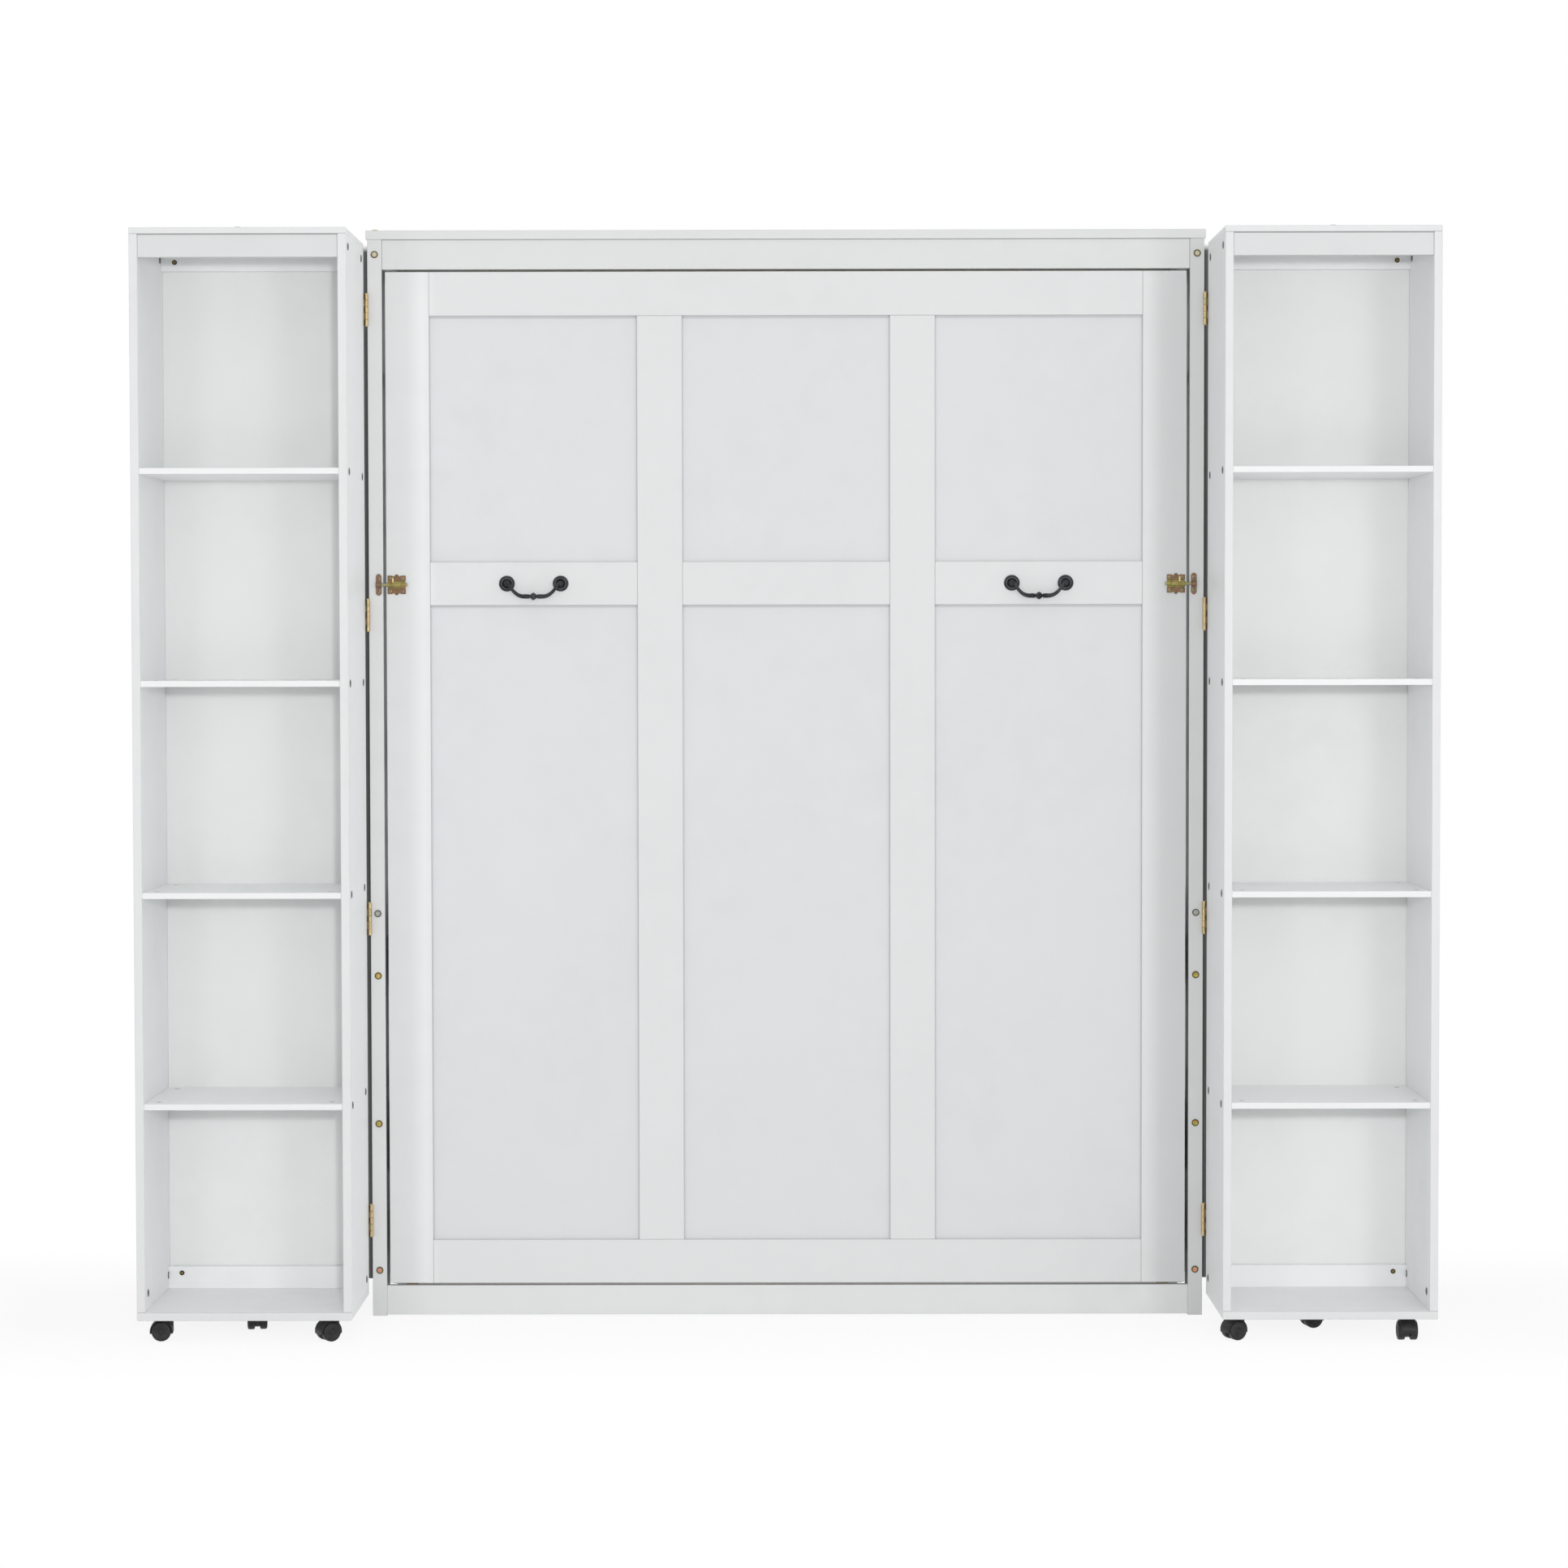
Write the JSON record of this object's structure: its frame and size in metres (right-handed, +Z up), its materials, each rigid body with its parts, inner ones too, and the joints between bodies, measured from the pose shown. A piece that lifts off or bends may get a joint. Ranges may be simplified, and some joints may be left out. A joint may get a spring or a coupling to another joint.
{
  "type": "wall bed",
  "caption": "Fold-down wall bed in a white cabinet, with bail handles, barrel bolts, gas struts, a folding foot leg and swing-out bookcases on casters.",
  "frame": {"origin": "on the floor, in the middle of the width and of the depth", "axes": "+X across the front to the viewer's right, +Y from the front to the wall, +Z up"},
  "size_m": [2.53, 0.757, 2.19],
  "materials": {
    "frame_paint": "satin white paint on board",
    "front_paint": "satin white paint on board",
    "case_paint": "satin white paint on board",
    "pale_wood": "bare pale plywood",
    "box_paint": "satin white paint on board",
    "grey_steel": "satin black powder coat on steel",
    "rod_chrome": "polished hard chrome",
    "yellow_zinc": "yellow passivated zinc plate",
    "graphite": "dark graphite plate, satin",
    "socket_steel": "bright steel",
    "black_hood": "black moulded plastic",
    "black_wheel": "black moulded plastic"
  },
  "bodies": {
    "frame": {"top_board": "frame_paint", "header_board": "frame_paint", "plinth_board": "frame_paint", "front_posts": "frame_paint", "rear_posts": "frame_paint", "lower_side_boards": "frame_paint", "middle_side_boards": "frame_paint", "upper_side_rails": "frame_paint", "rear_rails": "frame_paint", "pivot_plates": "grey_steel", "strut_brackets": "grey_steel", "frame_bolts": "yellow_zinc", "latch_keepers": "yellow_zinc", "post_hinges": "yellow_zinc"},
    "bed": {"door_panel": "front_paint", "door_stiles": "front_paint", "door_rails": "front_paint", "door_mullions": "front_paint", "bed_box_boards": "box_paint", "slat_supports": "pale_wood", "bed_slats": "pale_wood", "pivot_arms": "grey_steel", "leg_studs": "grey_steel", "latch_plates": "yellow_zinc", "handle_roses": "graphite"},
    "support_leg": {"support_leg": "grey_steel"},
    "left_strut_tube": {"left_strut_tube": "grey_steel"},
    "left_strut_rod": {"left_strut_rod": "rod_chrome"},
    "left_latch_bolt": {"left_latch_bolt": "yellow_zinc"},
    "left_handle_bail": {"left_handle_bail": "graphite"},
    "left_bookcase": {"left_case_sides": "case_paint", "left_case_ends": "case_paint", "left_case_back": "case_paint", "left_case_shelves": "case_paint", "left_case_rails": "case_paint", "left_case_sockets": "socket_steel", "left_case_hinges": "yellow_zinc"},
    "left_outer_hood": {"left_outer_hood": "black_hood"},
    "left_outer_wheels": {"left_outer_wheels": "black_wheel"},
    "left_inner_hood": {"left_inner_hood": "black_hood"},
    "left_inner_wheels": {"left_inner_wheels": "black_wheel"},
    "left_back_hood": {"left_back_hood": "black_hood"},
    "left_back_wheels": {"left_back_wheels": "black_wheel"},
    "right_strut_tube": {"right_strut_tube": "grey_steel"},
    "right_strut_rod": {"right_strut_rod": "rod_chrome"},
    "right_latch_bolt": {"right_latch_bolt": "yellow_zinc"},
    "right_handle_bail": {"right_handle_bail": "graphite"},
    "right_bookcase": {"right_case_sides": "case_paint", "right_case_ends": "case_paint", "right_case_back": "case_paint", "right_case_shelves": "case_paint", "right_case_rails": "case_paint", "right_case_sockets": "socket_steel", "right_case_hinges": "yellow_zinc"},
    "right_outer_hood": {"right_outer_hood": "black_hood"},
    "right_outer_wheels": {"right_outer_wheels": "black_wheel"},
    "right_inner_hood": {"right_inner_hood": "black_hood"},
    "right_inner_wheels": {"right_inner_wheels": "black_wheel"},
    "right_back_hood": {"right_back_hood": "black_hood"},
    "right_back_wheels": {"right_back_wheels": "black_wheel"}
  },
  "joints": [
    {"name": "bed_fold", "type": "hinge", "parent": "frame", "child": "bed", "pos_m": [0, 0.0035, 0.35], "axis": [1, 0, 0], "range_deg": [0, 90], "stiffness_Nm_per_rad": 200, "springref_deg": -11.46},
    {"name": "leg_fold", "type": "hinge", "parent": "bed", "child": "support_leg", "pos_m": [0, 0.0285, 1.9], "axis": [1, 0, 0], "range_deg": [0, 234]},
    {"name": "left_strut_swing", "type": "hinge", "parent": "frame", "child": "left_strut_tube", "pos_m": [-0.807, 0.0385, 0.754], "axis": [1, 0, 0], "range_deg": [0, 3.97]},
    {"name": "left_strut_slide", "type": "slide", "parent": "left_strut_tube", "child": "left_strut_rod", "axis": [0, 0, 1], "range_m": [0, 0.09473]},
    {"name": "left_latch_slide", "type": "slide", "parent": "bed", "child": "left_latch_bolt", "axis": [1, 0, 0], "range_m": [0, 0.014]},
    {"name": "left_bail_swing", "type": "hinge", "parent": "bed", "child": "left_handle_bail", "pos_m": [-0.508, -0.0875, 1.482], "axis": [-1, 0, 0], "range_deg": [0, 100]},
    {"name": "left_case_swing", "type": "hinge", "parent": "frame", "child": "left_bookcase", "pos_m": [-0.8415, -0.077, 0.195], "axis": [0, 0, -1], "range_deg": [0, 90]},
    {"name": "left_outer_swivel", "type": "hinge", "parent": "left_bookcase", "child": "left_outer_hood", "pos_m": [-1.21, -0.3335, 0.045], "axis": [0, 0, 1], "continuous": true},
    {"name": "left_outer_roll", "type": "hinge", "parent": "left_outer_hood", "child": "left_outer_wheels", "pos_m": [-1.22395, -0.33472, 0.019], "axis": [-0.0872, 0.9962, 0], "continuous": true},
    {"name": "left_inner_swivel", "type": "hinge", "parent": "left_bookcase", "child": "left_inner_hood", "pos_m": [-0.8855, -0.3335, 0.045], "axis": [0, 0, 1], "continuous": true},
    {"name": "left_inner_roll", "type": "hinge", "parent": "left_inner_hood", "child": "left_inner_wheels", "pos_m": [-0.89711, -0.34133, 0.019], "axis": [-0.5592, 0.829, 0], "continuous": true},
    {"name": "left_back_swivel", "type": "hinge", "parent": "left_bookcase", "child": "left_back_hood", "pos_m": [-1.056, -0.2035, 0.045], "axis": [0, 0, 1], "continuous": true},
    {"name": "left_back_roll", "type": "hinge", "parent": "left_back_hood", "child": "left_back_wheels", "pos_m": [-1.05357, -0.21729, 0.019], "axis": [-0.9848, -0.1736, 0], "continuous": true},
    {"name": "right_strut_swing", "type": "hinge", "parent": "frame", "child": "right_strut_tube", "pos_m": [0.807, 0.0385, 0.754], "axis": [1, 0, 0], "range_deg": [0, 3.97]},
    {"name": "right_strut_slide", "type": "slide", "parent": "right_strut_tube", "child": "right_strut_rod", "axis": [0, 0, 1], "range_m": [0, 0.09473]},
    {"name": "right_latch_slide", "type": "slide", "parent": "bed", "child": "right_latch_bolt", "axis": [-1, 0, 0], "range_m": [0, 0.014]},
    {"name": "right_bail_swing", "type": "hinge", "parent": "bed", "child": "right_handle_bail", "pos_m": [0.508, -0.0875, 1.482], "axis": [-1, 0, 0], "range_deg": [0, 100]},
    {"name": "right_case_swing", "type": "hinge", "parent": "frame", "child": "right_bookcase", "pos_m": [0.8415, -0.077, 0.195], "axis": [0, 0, 1], "range_deg": [0, 90]},
    {"name": "right_outer_swivel", "type": "hinge", "parent": "right_bookcase", "child": "right_outer_hood", "pos_m": [1.21, -0.3335, 0.045], "axis": [0, 0, 1], "continuous": true},
    {"name": "right_outer_roll", "type": "hinge", "parent": "right_outer_hood", "child": "right_outer_wheels", "pos_m": [1.21, -0.3475, 0.019], "axis": [-1, 0, 0], "continuous": true},
    {"name": "right_inner_swivel", "type": "hinge", "parent": "right_bookcase", "child": "right_inner_hood", "pos_m": [0.8855, -0.3335, 0.045], "axis": [0, 0, 1], "continuous": true},
    {"name": "right_inner_roll", "type": "hinge", "parent": "right_inner_hood", "child": "right_inner_wheels", "pos_m": [0.87303, -0.33986, 0.019], "axis": [-0.454, 0.891, 0], "continuous": true},
    {"name": "right_back_swivel", "type": "hinge", "parent": "right_bookcase", "child": "right_back_hood", "pos_m": [1.056, -0.2035, 0.045], "axis": [0, 0, 1], "continuous": true},
    {"name": "right_back_roll", "type": "hinge", "parent": "right_back_hood", "child": "right_back_wheels", "pos_m": [1.04231, -0.20641, 0.019], "axis": [-0.2079, 0.9781, 0], "continuous": true}
  ],
  "couplings": [
    {"joint": "leg_fold", "follows": "bed_fold", "ratio": 2.6},
    {"joint": "left_strut_swing", "follows": "bed_fold", "ratio": 0.044128},
    {"joint": "left_strut_slide", "follows": "bed_fold", "m_per_rad": 0.060309},
    {"joint": "right_strut_swing", "follows": "bed_fold", "ratio": 0.044128},
    {"joint": "right_strut_slide", "follows": "bed_fold", "m_per_rad": 0.060309}
  ]
}
